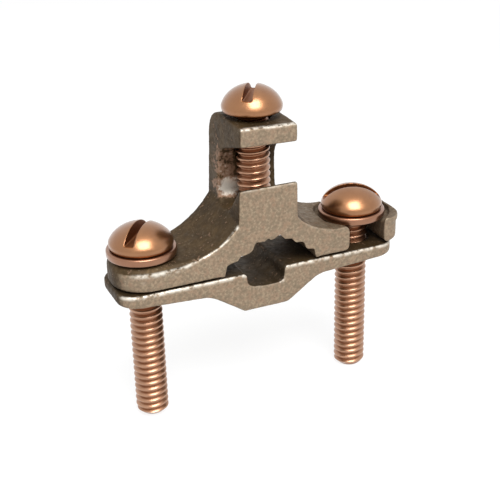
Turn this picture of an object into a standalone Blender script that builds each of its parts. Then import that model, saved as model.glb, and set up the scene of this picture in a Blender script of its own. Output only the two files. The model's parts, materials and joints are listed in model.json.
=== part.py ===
"""Two-jaw ground clamp for reinforcing bar, rod or small pipe.

A cast upper jaw carries an open wire lug with its own binding screw. A cast lower jaw hangs
from two long round-head screws: the left one goes through a hole in the upper jaw, and the
right one through a slot that is open to the front, so that the lower jaw swings aside.

X runs through both clamp screws, -Y is the front, and +Z points to the lug. The origin is
the middle of the rod's seat, between the clamp screws, on the lower jaw's upper face.
Dimensions are in millimetres and become metres when a mesh is made.
"""
import math

import bmesh
import bpy
from mathutils import Vector

MM = 0.001

# Driving dimensions of the castings
SCREW_SPACING = 43.0        # between the axes of the two clamp screws
CASTING_DEPTH = 13.8        # front face to back face of both jaws
PARTING_GAP = 0.35          # between the closed jaws
PARTING_EDGE = 0.3          # broken edge along the parting faces
CASTING_EDGE = 0.4          # small rolled edge of the upper jaw

LEFT_EAR_REACH = 6.3        # left screw axis to the end of the upper jaw
LEFT_EAR_FLAT = 0.7         # half the flat that is left between that end's two corners
LEFT_EAR_TOP = 4.85         # height of the seat for the left washer
LEFT_EAR_ROLL = 1.3         # rolled upper edge of the left ear
FLANK_TUCK = 0.3            # how far the hollow flank starts inside the left washer's edge
FLANK_RISE = 4.77           # height that the flank gains up to the lug at the front
FLANK_BACK_REACH = 3.45     # how much further left the flank starts at the back
FLANK_BACK_RISE = 7.3       # height that the flank gains up to the lug at the back
RIGHT_EAR_REACH = 8.1       # right screw axis to the end of the upper jaw
RIGHT_EAR_CORNER = 4.7
RIGHT_EAR_TOP = 5.6         # height of the right ear round its spot face
SHOULDER_FOOT = 6.5         # right screw axis to the foot of the hollow shoulder
SHOULDER_RISE = 3.77        # height that the shoulder gains up to the lug at the front
SHOULDER_BACK_REACH = 2.8   # how much further right the shoulder starts at the back
SHOULDER_BACK_RISE = 5.6    # height that the shoulder gains up to the lug at the back
SPOT_FACE_DEPTH = 1.15      # sunk seat for the right washer, which runs out to the front
SLOT_OFFSET = 0.2           # middle of the right ear's slot to the left of the screw in it
PRONG_ROLL = 1.2            # rolled edges of that slot's mouth

# Driving dimensions of the serrated jaw
JAW_CENTRE = 1.25           # middle of the serrated jaw along X
JAW_HEIGHT = 6.2            # above the upper jaw's parting face
JAW_FEET = (-9.55, 9.25)    # ends of the opening on the parting face, from the jaw's middle
JAW_PEAK = 1.7              # highest point, from the jaw's middle
LEFT_TREADS = (             # outer end, its height, inner end and its height
    (-8.75, 2.0, -6.75, 2.45), (-6.3, 3.2, -4.25, 3.75), (-3.35, 5.25, -1.45, 5.45), (-1.1, 5.85, 0.6, 5.9))
RIGHT_TREADS = (
    (8.5, 2.05, 6.85, 2.9), (6.2, 3.75, 4.5, 4.3), (3.9, 4.85, 2.9, 5.3))

# Driving dimensions of the wire lug, its groove and its ledge
WIRE_SCREW_X = 0.87
LUG_LEFT_REACH = 6.26       # wire screw axis to the lug's left face at the root
LUG_RIGHT_REACH = 5.75
LUG_DRAFT = 1.03            # how far the left face leans in at the top
LUG_FLARE = 0.24            # how much further left that face is at the back
LUG_STEP = 0.6              # how far the lug stands out behind the castings
LUG_FOOT_RISE = 0.7         # how far above the serrated jaw that step starts
LUG_CROWN = 4.0             # outer radius where the ledge turns into the back wall
GROOVE_FLOOR = 10.9
GROOVE_WALL = 2.85          # wire screw axis to the face of the back wall
GROOVE_BACK_RADIUS = 2.8
GROOVE_FRONT_RADIUS = 1.8
DRILL_MARK = 0.05           # groove's floor to where the tapping drill stopped
LIP_HEIGHT = 5.35           # groove's floor to the top of the lip
LIP_LAND = 0.6              # flat top of the lip
LIP_SLOPE = 4.3             # run of the lip's slope down to the groove's floor
OPENING_HEIGHT = 7.85       # lip to ledge
LEDGE_THICKNESS = 3.3       # at its front edge
LEDGE_RISE = 0.5            # how much higher its top is at the back
LEDGE_DROP = 2.8            # how much lower its underside is at the back
LEDGE_TILT = 0.4            # how much lower the ledge is at its right end
LEDGE_ROOT_RADIUS = 4.2

# Driving dimensions of the lower jaw
LOWER_LEFT_REACH = 6.4      # left screw axis to the left end
LOWER_LEFT_CORNER = 3.6
LOWER_RIGHT_REACH = 6.6
LOWER_RIGHT_CORNER = 4.0
LOWER_EDGE = 0.5            # small rolled edge of the lower jaw
EAR_TIP_THICKNESS = 2.3
EAR_ROOT_THICKNESS = 3.3
BELLY_HALF_WIDTH = 4.4
BELLY_SLOPE = 6.6           # run of the slope between an ear and the belly
BELLY_DEPTH = 7.7
BELLY_ROOT_RADIUS = 6.0
BELLY_LEFT_RADIUS = 1.2
BELLY_RIGHT_RADIUS = 1.8
NOTCH_HALF_WIDTH = 3.85
NOTCH_DEPTH = 3.05
NOTCH_TAPER = 0.2           # how far each side leans in at the notch's floor
NOTCH_DRAFT = 0.35          # how far each side leans in at the back
NOTCH_LIP = 0.5             # broken edge of the notch
NOTCH_LIP_RADIUS = 0.5
NOTCH_LEFT_RADIUS = 1.1
NOTCH_RIGHT_RADIUS = 1.0

# Driving dimensions of the screws and washers
SHANK_RADIUS = 3.1
CLAMP_SCREW_LENGTH = 34.5   # under the head
CLAMP_HEAD_RADIUS = 5.9
CLAMP_HEAD_HEIGHT = 4.3
CLAMP_SLOT_DEPTH = 2.5
WIRE_HEAD_RADIUS = 5.57
WIRE_HEAD_HEIGHT = 4.7
WIRE_SLOT_DEPTH = 2.0
WIRE_HEAD_GAP = 0.85        # between the ledge's top and the head, which isn't screwed home
WIRE_TIP_GAP = 2.2          # between the groove's floor and the screw's tip
SLOT_WIDTH = 1.75
HEAD_RIM = 0.85             # height of the head's widest ring
HEAD_UNDERCUT = 0.55        # how much narrower the head is where it seats
TIP_CHAMFER = 0.7
LEFT_SLOT_TURN = 48.0       # turn of each driver slot about Z, in degrees
RIGHT_SLOT_TURN = -23.0
WIRE_SLOT_TURN = 55.0
WASHER_RADIUS = 6.45
WASHER_THICKNESS = 1.45
WASHER_EDGE = 0.25

# Clearances
SEAT_GAP = 0.25             # between a washer and what it lies on, or the head above it
THREAD_GAP = 0.3            # round a shank in a tapped hole
HOLE_GAP = 0.5              # round a shank in a plain hole or a washer
SWING_GAP = 0.65            # beside the right shank in the slot it swings out of
SPOT_FACE_GAP = 0.95        # round the right washer in its spot face
LEFT_FACE_GAP = 0.35        # round the left washer, where the flank is cut back for it
LEFT_FACE_RISE = 0.02       # that cut's height above the left ear

# Facets
ROUND_STEPS = 48
ARC_STEPS = 9
ROLL_STEPS = 3
OVERSHOOT = 2.0             # how far a cutter stands out of what it cuts

# Places that follow from the dimensions above
LEFT_AXIS = -SCREW_SPACING / 2
RIGHT_AXIS = SCREW_SPACING / 2
HALF_DEPTH = CASTING_DEPTH / 2
UPPER_FLAT = PARTING_GAP
UPPER_ENDS = (LEFT_AXIS - LEFT_EAR_REACH, RIGHT_AXIS + RIGHT_EAR_REACH)
LOWER_ENDS = (LEFT_AXIS - LOWER_LEFT_REACH, RIGHT_AXIS + LOWER_RIGHT_REACH)
LEFT_EAR_CORNER = HALF_DEPTH - LEFT_EAR_FLAT
RIGHT_SEAT = RIGHT_EAR_TOP - SPOT_FACE_DEPTH
SLOT_CENTRE = RIGHT_AXIS - SLOT_OFFSET
SLOT_HALF_WIDTH = SHANK_RADIUS + SWING_GAP
LUG_LEFT = WIRE_SCREW_X - LUG_LEFT_REACH
LUG_RIGHT = WIRE_SCREW_X + LUG_RIGHT_REACH
LUG_BACK = HALF_DEPTH + LUG_STEP
LUG_FOOT = UPPER_FLAT + JAW_HEIGHT + LUG_FOOT_RISE
GROOVE_FRONT = -HALF_DEPTH + LIP_LAND + LIP_SLOPE
LIP_TOP = GROOVE_FLOOR + LIP_HEIGHT
LEDGE_UNDERSIDE = LIP_TOP + OPENING_HEIGHT
LEDGE_FRONT_TOP = LEDGE_UNDERSIDE + LEDGE_THICKNESS
LEDGE_BACK_TOP = LEDGE_FRONT_TOP + LEDGE_RISE
WIRE_TIP = GROOVE_FLOOR + WIRE_TIP_GAP
WIRE_HEAD_BASE = LEDGE_BACK_TOP + WIRE_HEAD_GAP


def rounded_outline(corners, steps=ARC_STEPS):
    """Points of an outline whose corners (u, v, radius) are replaced by arcs."""
    points = []
    count = len(corners)
    for index, (u, v, radius) in enumerate(corners):
        corner = Vector((u, v))
        before = Vector(corners[index - 1][:2]) - corner
        after = Vector(corners[(index + 1) % count][:2]) - corner
        if radius <= 0:
            points.append((u, v))
            continue
        before.normalize()
        after.normalize()
        half_angle = math.acos(max(-1.0, min(1.0, before.dot(after)))) / 2
        tangent = radius / math.tan(half_angle)
        centre = corner + (before + after).normalized() * radius / math.sin(half_angle)
        start = corner + before * tangent - centre
        end = corner + after * tangent - centre
        sweep = start.angle_signed(end)
        for step in range(steps + 1):
            turn = -sweep * step / steps
            point = centre + Vector((
                start.x * math.cos(turn) - start.y * math.sin(turn),
                start.x * math.sin(turn) + start.y * math.cos(turn)))
            points.append((point.x, point.y))
    return points


def height_on(profile, x):
    """Height of a profile, a list of (x, z) with rising x, at one x."""
    for (x0, z0), (x1, z1) in zip(profile, profile[1:]):
        if x0 <= x <= x1:
            return z0 + (z1 - z0) * (x - x0) / (x1 - x0)
    return profile[0][1] if x < profile[0][0] else profile[-1][1]


def new_object(name, bm, material=None, origin=(0.0, 0.0, 0.0)):
    """Turn a bmesh in millimetres into an object whose origin is at a point in millimetres."""
    bmesh.ops.recalc_face_normals(bm, faces=bm.faces)
    bmesh.ops.translate(bm, verts=bm.verts, vec=-Vector(origin))
    bmesh.ops.scale(bm, verts=bm.verts, vec=(MM, MM, MM))
    mesh = bpy.data.meshes.new(name)
    bm.to_mesh(mesh)
    bm.free()
    mesh.shade_smooth()
    mesh.set_sharp_from_angle(angle=math.radians(35))
    obj = bpy.data.objects.new(name, mesh)
    obj.location = Vector(origin) * MM
    bpy.context.scene.collection.objects.link(obj)
    if material:
        mesh.materials.append(material)
    return obj


def prism(name, outline, axis, low, high):
    """Closed outline extruded along one axis: outline (y, z) for X, (x, z) for Y, (x, y) for Z."""
    bm = bmesh.new()
    place = {
        "X": lambda u, v, w: (w, u, v),
        "Y": lambda u, v, w: (u, w, v),
        "Z": lambda u, v, w: (u, v, w),
    }[axis]
    face = bm.faces.new([bm.verts.new(place(u, v, low)) for u, v in outline])
    made = bmesh.ops.extrude_face_region(bm, geom=[face])
    moved = [item for item in made["geom"] if isinstance(item, bmesh.types.BMVert)]
    bmesh.ops.translate(bm, verts=moved, vec=Vector(place(0, 0, high - low)))
    return new_object(name, bm)


def turned(bm, profile, centre, steps=ROUND_STEPS):
    """Revolve a profile of (radius, z) about a vertical axis through centre."""
    verts = [bm.verts.new((centre[0] + radius, centre[1], z)) for radius, z in profile]
    edges = [bm.edges.new(pair) for pair in zip(verts, verts[1:])]
    bmesh.ops.spin(
        bm, geom=verts + edges, cent=(centre[0], centre[1], 0), axis=(0, 0, 1),
        angle=math.tau, steps=steps, use_merge=True, use_duplicate=False)
    bmesh.ops.remove_doubles(bm, verts=bm.verts, dist=0.0001)


def cylinder(name, x, y, radius, low, high):
    """A plain upright cylinder, used as a cutter."""
    bm = bmesh.new()
    turned(bm, [(0, high), (radius, high), (radius, low), (0, low)], (x, y))
    return new_object(name, bm)


def as_cutter(obj):
    """Hide a helper shape from the finished model."""
    obj.hide_render = True
    obj.display_type = "WIRE"
    return obj


def boolean(target, other, operation):
    """Cut or join another solid and keep the modifier on its object."""
    modifier = target.modifiers.new(other.name, "BOOLEAN")
    modifier.operation = operation
    modifier.solver = "EXACT"
    modifier.object = as_cutter(other)


def bar_stations(profiles, left_end, left_corner, right_end, right_corner):
    """Sections along a bar with rounded ends: centre of the corner arc, its angle and radius."""
    stations = []
    for step in range(ARC_STEPS):
        angle = math.pi - math.pi / 2 * step / ARC_STEPS
        stations.append((left_end + left_corner, angle, left_corner))
    low = left_end + left_corner
    high = right_end - right_corner
    inner = sorted({x for profile in profiles for x, _ in profile if low + 0.05 < x < high - 0.05})
    for x in [low, *inner, high]:
        stations.append((x, math.pi / 2, 0.0))
    for step in range(1, ARC_STEPS + 1):
        angle = math.pi / 2 - math.pi / 2 * step / ARC_STEPS
        stations.append((high, angle, right_corner))
    return stations


def section_side(flat, top, radius):
    """Inset and height of each point up one side of a bar's section."""
    side = 1 if top > flat else -1
    points = [(PARTING_EDGE, flat), (0.0, flat + side * PARTING_EDGE)]
    for step in range(ROLL_STEPS + 1):
        bend = math.pi / 2 * step / ROLL_STEPS
        points.append((radius * (1 - math.cos(bend)), top - side * radius * (1 - math.sin(bend))))
    return points


def skin(bm, loops):
    """Faces between each loop of points and the next."""
    size = len(loops[0])
    for first, second in zip(loops, loops[1:]):
        for index in range(size):
            follow = (index + 1) % size
            bm.faces.new((first[index], first[follow], second[follow], second[index]))


def bar(name, profiles, flat, ends, corners, roll, material, origin):
    """A jaw casting: flat on its parting face, shaped by a front and a back profile on the other.

    Each section is lofted to the next. roll gives the radius of the rolled edge at an x.
    """
    bm = bmesh.new()
    loops = []
    for x, angle, corner in bar_stations(profiles, ends[0], corners[0], ends[1], corners[1]):
        reach = HALF_DEPTH if corner == 0 else corner
        at_x = x + reach * math.cos(angle)
        sides = []
        for profile, facing in zip(profiles, (-1, 1)):
            side = []
            for inset, z in section_side(flat, height_on(profile, at_x), roll(at_x)):
                point_x = x + (reach - inset) * math.cos(angle)
                point_y = HALF_DEPTH - reach + (reach - inset) * math.sin(angle)
                side.append(bm.verts.new((point_x, facing * point_y, z)))
            sides.append(side)
        loops.append(sides[0] + sides[1][::-1])
    skin(bm, loops)
    size = len(loops[0])
    for loop in (loops[0], loops[-1]):
        for index in range(size // 2 - 1):
            bm.faces.new((loop[index], loop[index + 1], loop[size - 2 - index], loop[size - 1 - index]))
    return new_object(name, bm, material, origin)


def hollow(run, full_run, full_rise):
    """Height at a distance from the foot of an arc that is level there and ends at a given rise."""
    radius = (full_run ** 2 + full_rise ** 2) / (2 * full_rise)
    return radius - math.sqrt(radius ** 2 - run ** 2)


def upper_profile(reaches, rises):
    """Top line of the upper jaw: ear, hollow flank, root of the lug, hollow shoulder, ear."""
    points = [(UPPER_ENDS[0], LEFT_EAR_TOP)]
    flank_foot = LEFT_AXIS + WASHER_RADIUS - FLANK_TUCK - reaches[0]
    flank_run = LUG_LEFT - flank_foot
    for step in range(ARC_STEPS + 1):
        run = flank_run * step / ARC_STEPS
        points.append((flank_foot + run, LEFT_EAR_TOP + hollow(run, flank_run, rises[0])))
    points.append((LUG_LEFT + LUG_DRAFT / 2, points[-1][1]))
    shoulder_foot = RIGHT_AXIS - SHOULDER_FOOT + reaches[1]
    shoulder_run = shoulder_foot - LUG_RIGHT
    top = RIGHT_EAR_TOP + rises[1]
    points += [(points[-1][0] + CASTING_EDGE, LEFT_EAR_TOP + FLANK_RISE),
               (LUG_RIGHT - 2 * CASTING_EDGE, LEFT_EAR_TOP + FLANK_RISE), (LUG_RIGHT - CASTING_EDGE, top)]
    for step in range(ARC_STEPS + 1):
        run = shoulder_run * (1 - step / ARC_STEPS)
        points.append((shoulder_foot - run, RIGHT_EAR_TOP + hollow(run, shoulder_run, rises[1])))
    points.append((UPPER_ENDS[1], RIGHT_EAR_TOP))
    return points


def upper_roll(x):
    """The left ear's edge is well rolled and sharpens along the flank."""
    fade = (x - LEFT_AXIS - LEFT_EAR_CORNER) / LEFT_EAR_CORNER
    return LEFT_EAR_ROLL + (CASTING_EDGE - LEFT_EAR_ROLL) * min(1.0, max(0.0, fade))


def serrated_outline():
    """Outline of the stepped jaw that grips the rod, as a cutter open downwards."""
    points = [(JAW_FEET[0], -OVERSHOOT), (JAW_FEET[0], 0.0)]
    for outer, outer_height, inner, inner_height in LEFT_TREADS:
        points += [(outer, outer_height), (inner, inner_height)]
    points.append((JAW_PEAK, JAW_HEIGHT))
    for outer, outer_height, inner, inner_height in reversed(RIGHT_TREADS):
        points += [(inner, inner_height), (outer, outer_height)]
    points += [(JAW_FEET[1], 0.0), (JAW_FEET[1], -OVERSHOOT)]
    return [(JAW_CENTRE + u, UPPER_FLAT + v) for u, v in points]


def lug_block():
    """The lug: a hooked section, open to the front, that is drawn along X with a drafted side."""
    section = rounded_outline([
        (-HALF_DEPTH, LUG_FOOT, 0),
        (-HALF_DEPTH, LIP_TOP, 0.3),
        (-HALF_DEPTH + LIP_LAND, LIP_TOP, CASTING_EDGE),
        (GROOVE_FRONT, GROOVE_FLOOR, GROOVE_FRONT_RADIUS),
        (GROOVE_WALL, GROOVE_FLOOR, GROOVE_BACK_RADIUS),
        (GROOVE_WALL, LEDGE_UNDERSIDE - LEDGE_DROP, LEDGE_ROOT_RADIUS),
        (-HALF_DEPTH, LEDGE_UNDERSIDE, 0.3),
        (-HALF_DEPTH, LEDGE_FRONT_TOP, 0.5),
        (LUG_BACK, LEDGE_BACK_TOP, LUG_CROWN),
        (LUG_BACK, LUG_FOOT, 0),
    ], 6)
    lug = prism("lug_block", section, "X", LUG_LEFT, LUG_RIGHT)
    height = LEDGE_BACK_TOP - LEFT_EAR_TOP
    for vert in lug.data.vertices:
        if vert.co.z > LIP_TOP * MM + HALF_DEPTH * MM / 4:
            vert.co.z -= LEDGE_TILT * (vert.co.x - WIRE_SCREW_X * MM) / (LUG_RIGHT - LUG_LEFT)
        if vert.co.x < WIRE_SCREW_X * MM:
            lean = (vert.co.z / MM - LEFT_EAR_TOP) / height
            flare = (vert.co.y / MM + HALF_DEPTH) / (LUG_BACK + HALF_DEPTH)
            vert.co.x += (LUG_DRAFT * max(0.0, lean) - LUG_FLARE * flare) * MM
    edge = lug.modifiers.new("cast_edge", "BEVEL")
    edge.width = CASTING_EDGE * MM
    edge.segments = 2
    edge.limit_method = "ANGLE"
    edge.angle_limit = math.radians(60)
    return lug


def spot_face_outline():
    """Plan of the right washer's seat and the curved way out that it takes as the jaw swings."""
    radius = WASHER_RADIUS + SPOT_FACE_GAP
    inner = SCREW_SPACING - radius
    outer = SCREW_SPACING + radius
    points = []
    for step in range(ROUND_STEPS // 2 + 1):
        turn = math.pi * step / (ROUND_STEPS // 2)
        points.append((RIGHT_AXIS + radius * math.cos(turn), radius * math.sin(turn)))
    for arc, order in ((inner, 1), (outer, -1)):
        sweep = math.asin((HALF_DEPTH + OVERSHOOT) / arc)
        side = []
        for step in range(1, ARC_STEPS + 1):
            turn = -sweep * step / ARC_STEPS
            side.append((LEFT_AXIS + arc * math.cos(turn), arc * math.sin(turn)))
        points += side[::order]
    return points


def slot_cutter():
    """The right ear's slot, a U in plan that is open to the front, with a rolled mouth."""
    levels = [(UPPER_FLAT - OVERSHOOT, PRONG_ROLL)]
    for low, sign in ((UPPER_FLAT, 1), (RIGHT_EAR_TOP, -1)):
        rolled = []
        for step in range(ROLL_STEPS + 1):
            bend = math.pi / 2 * step / ROLL_STEPS
            rise = PRONG_ROLL * (1 - math.cos(bend))
            rolled.append((low + sign * rise, PRONG_ROLL * (1 - math.sin(bend))))
        levels += rolled if sign > 0 else rolled[::-1]
    levels.append((RIGHT_EAR_TOP + OVERSHOOT, PRONG_ROLL))
    bm = bmesh.new()
    loops = []
    for z, flare in levels:
        radius = SLOT_HALF_WIDTH + flare
        points = [(radius, -HALF_DEPTH - OVERSHOOT)]
        for step in range(2 * ARC_STEPS + 1):
            turn = math.pi * step / (2 * ARC_STEPS)
            points.append((radius * math.cos(turn), radius * math.sin(turn)))
        points.append((-radius, -HALF_DEPTH - OVERSHOOT))
        loops.append([bm.verts.new((SLOT_CENTRE + u, v, z)) for u, v in points])
    skin(bm, loops)
    bm.faces.new(loops[0])
    bm.faces.new(loops[-1])
    return new_object("slot_cutter", bm)


def upper_jaw(material):
    """The upper casting with its lug, serrated jaw, plain hole, slot and spot face."""
    front = upper_profile((0, 0), (FLANK_RISE, SHOULDER_RISE))
    back = upper_profile(
        (FLANK_BACK_REACH, SHOULDER_BACK_REACH), (FLANK_BACK_RISE, SHOULDER_BACK_RISE))
    jaw = bar(
        "upper_jaw", (front, back), UPPER_FLAT, UPPER_ENDS, (LEFT_EAR_CORNER, RIGHT_EAR_CORNER),
        upper_roll, material, (0, 0, 0))
    boolean(jaw, lug_block(), "UNION")
    boolean(jaw, prism("serration_cutter", serrated_outline(), "Y",
                       -HALF_DEPTH - OVERSHOOT, HALF_DEPTH + OVERSHOOT), "DIFFERENCE")
    boolean(jaw, cylinder("left_face_cutter", LEFT_AXIS, 0, WASHER_RADIUS + LEFT_FACE_GAP,
                          LEFT_EAR_TOP + LEFT_FACE_RISE, LEFT_EAR_TOP + FLANK_RISE), "DIFFERENCE")
    boolean(jaw, prism("spot_face_cutter", spot_face_outline(), "Z",
                       RIGHT_SEAT, RIGHT_EAR_TOP + SHOULDER_RISE), "DIFFERENCE")
    boolean(jaw, slot_cutter(), "DIFFERENCE")
    boolean(jaw, cylinder("left_hole_cutter", LEFT_AXIS, 0, SHANK_RADIUS + HOLE_GAP,
                          UPPER_FLAT - OVERSHOOT, LEFT_EAR_TOP + OVERSHOOT), "DIFFERENCE")
    boolean(jaw, cylinder("wire_hole_cutter", WIRE_SCREW_X, 0, SHANK_RADIUS + THREAD_GAP,
                          GROOVE_FLOOR + DRILL_MARK, LEDGE_BACK_TOP + OVERSHOOT), "DIFFERENCE")
    return jaw


def lower_profile():
    """Underside of the lower jaw: thin ears that thicken to a belly under the rod's seat."""
    belly_root = BELLY_HALF_WIDTH + BELLY_SLOPE
    corners = [
        (LOWER_ENDS[0], 0.0, 0),
        (LOWER_ENDS[0], -EAR_TIP_THICKNESS, 0),
        (-belly_root, -EAR_ROOT_THICKNESS, BELLY_ROOT_RADIUS),
        (-BELLY_HALF_WIDTH, -BELLY_DEPTH, BELLY_LEFT_RADIUS),
        (BELLY_HALF_WIDTH, -BELLY_DEPTH, BELLY_RIGHT_RADIUS),
        (belly_root, -EAR_ROOT_THICKNESS, BELLY_ROOT_RADIUS),
        (LOWER_ENDS[1], -EAR_TIP_THICKNESS, 0),
        (LOWER_ENDS[1], 0.0, 0),
    ]
    return rounded_outline(corners, 5)[1:-1]


def notch_outline():
    """Outline of the notch that the rod lies in, as a cutter open upwards."""
    wide = NOTCH_HALF_WIDTH + NOTCH_LIP
    narrow = NOTCH_HALF_WIDTH - NOTCH_TAPER
    return rounded_outline([
        (-wide, OVERSHOOT, 0),
        (-wide, 0, 0),
        (-NOTCH_HALF_WIDTH, -NOTCH_LIP, NOTCH_LIP_RADIUS),
        (-narrow, -NOTCH_DEPTH, NOTCH_LEFT_RADIUS),
        (narrow, -NOTCH_DEPTH, NOTCH_RIGHT_RADIUS),
        (NOTCH_HALF_WIDTH, -NOTCH_LIP, NOTCH_LIP_RADIUS),
        (wide, 0, 0),
        (wide, OVERSHOOT, 0),
    ], 4)


def notch_cutter():
    """The notch as a cutter that narrows towards the back, as the casting's draft leaves it."""
    cutter = prism("notch_cutter", notch_outline(), "Y", -HALF_DEPTH - OVERSHOOT, HALF_DEPTH + OVERSHOOT)
    for vert in cutter.data.vertices:
        if vert.co.y > 0:
            vert.co.x -= math.copysign(NOTCH_DRAFT * MM, vert.co.x)
    return cutter


def lower_jaw(material):
    """The lower casting with its notch for the rod and its two tapped holes."""
    profile = lower_profile()
    jaw = bar(
        "lower_jaw", (profile, profile), 0.0, LOWER_ENDS, (LOWER_LEFT_CORNER, LOWER_RIGHT_CORNER),
        lambda x: LOWER_EDGE, material, (LEFT_AXIS, 0, 0))
    boolean(jaw, notch_cutter(), "DIFFERENCE")
    for side, axis in (("left", LEFT_AXIS), ("right", RIGHT_AXIS)):
        boolean(jaw, cylinder(side + "_tapped_hole_cutter", axis, 0, SHANK_RADIUS + THREAD_GAP,
                              -BELLY_DEPTH, OVERSHOOT), "DIFFERENCE")
    return jaw


def washer(name, axis, seat, material):
    """A flat washer, lying on its seat."""
    low = seat + SEAT_GAP
    high = low + WASHER_THICKNESS
    inner = SHANK_RADIUS + HOLE_GAP
    outer = WASHER_RADIUS
    profile = [
        (inner, high),
        (outer - WASHER_EDGE, high),
        (outer, high - WASHER_EDGE),
        (outer, low + WASHER_EDGE),
        (outer - WASHER_EDGE, low),
        (inner, low),
        (inner, high),
    ]
    bm = bmesh.new()
    turned(bm, profile, (axis, 0))
    return new_object(name, bm, material, (axis, 0, low))


def head_profile(base, radius, height):
    """Half section of a round head, from its crown to the edge of its seating face."""
    cap = height - HEAD_RIM
    sphere = (radius ** 2 + cap ** 2) / (2 * cap)
    sweep = math.asin(radius / sphere)
    profile = []
    for step in range(ARC_STEPS + 1):
        turn = sweep * step / ARC_STEPS
        profile.append((sphere * math.sin(turn), base + height - sphere * (1 - math.cos(turn))))
    for step in range(1, ROLL_STEPS + 1):
        bend = math.pi / 2 * step / ROLL_STEPS
        inset = HEAD_UNDERCUT * (1 - math.cos(bend))
        profile.append((radius - inset, base + HEAD_RIM * (1 - math.sin(bend))))
    return profile


def screw(name, axis, base, length, head, slot_turn, material):
    """A round-head screw. base is the head's seating face, head its radius, height and slot depth."""
    radius, height, slot_depth = head
    profile = head_profile(base, radius, height)
    profile += [
        (SHANK_RADIUS, base),
        (SHANK_RADIUS, base - length + TIP_CHAMFER),
        (SHANK_RADIUS - TIP_CHAMFER, base - length),
        (0.0, base - length),
    ]
    bm = bmesh.new()
    turned(bm, profile, (axis, 0))
    obj = new_object(name, bm, material, (axis, 0, base))
    reach = radius + OVERSHOOT
    half = SLOT_WIDTH / 2
    plan = [(-reach, -half), (reach, -half), (reach, half), (-reach, half)]
    cutter = prism(name + "_slot_cutter", plan, "Z", height - slot_depth, height + OVERSHOOT)
    cutter.location = Vector((axis, 0, base)) * MM
    cutter.rotation_euler.z = math.radians(slot_turn)
    boolean(obj, cutter, "DIFFERENCE")
    return obj


def metal(name, colour, roughness):
    """A plain metal for one piece."""
    material = bpy.data.materials.new(name)
    material.use_nodes = True
    shader = material.node_tree.nodes["Principled BSDF"]
    shader.inputs["Base Color"].default_value = (*colour, 1.0)
    shader.inputs["Metallic"].default_value = 1.0
    shader.inputs["Roughness"].default_value = roughness
    material.diffuse_color = (*colour, 1.0)
    return material


def clear_scene():
    """Start from an empty scene."""
    for obj in list(bpy.data.objects):
        bpy.data.objects.remove(obj, do_unlink=True)


def clamp_pair(side, axis, seat, slot_turn):
    """A washer on its seat and the clamp screw that goes through it."""
    washer(side + "_washer", axis, seat, metal(side + "_washer_copper", (0.56, 0.29, 0.18), 0.4))
    base = seat + WASHER_THICKNESS + 2 * SEAT_GAP
    head = (CLAMP_HEAD_RADIUS, CLAMP_HEAD_HEIGHT, CLAMP_SLOT_DEPTH)
    screw(side + "_clamp_screw", axis, base, CLAMP_SCREW_LENGTH, head, slot_turn,
          metal(side + "_clamp_screw_copper", (0.60, 0.32, 0.18), 0.3))


def build():
    """Model every piece of the clamp."""
    clear_scene()
    upper_jaw(metal("upper_jaw_bronze", (0.36, 0.29, 0.20), 0.55))
    lower_jaw(metal("lower_jaw_bronze", (0.35, 0.28, 0.19), 0.55))
    clamp_pair("left", LEFT_AXIS, LEFT_EAR_TOP, LEFT_SLOT_TURN)
    clamp_pair("right", RIGHT_AXIS, RIGHT_SEAT, RIGHT_SLOT_TURN)
    screw("wire_screw", WIRE_SCREW_X, WIRE_HEAD_BASE, WIRE_HEAD_BASE - WIRE_TIP,
          (WIRE_HEAD_RADIUS, WIRE_HEAD_HEIGHT, WIRE_SLOT_DEPTH), WIRE_SLOT_TURN,
          metal("wire_screw_copper", (0.60, 0.32, 0.18), 0.3))


build()
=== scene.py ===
"""Finished look of a two-jaw ground clamp for reinforcing bar, rod or small pipe.

The cast jaws get their foundry skin with painted shade on the sides and tops, ground faces and ragged
edges with painted highlights, the three round-head screws get real right-hand threads and driver slots
with soft lips, and the washers get rounded edges. Each piece stands for its CAD node and rides on the same
body.

X runs through both clamp screws, -Y is the front, and +Z points to the wire lug. Sizes in this
file are in metres.
"""
import json
import math

import bpy
import numpy as np
from bpy.props import FloatProperty, FloatVectorProperty, IntProperty, PointerProperty
from mathutils import Matrix, Vector

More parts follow.
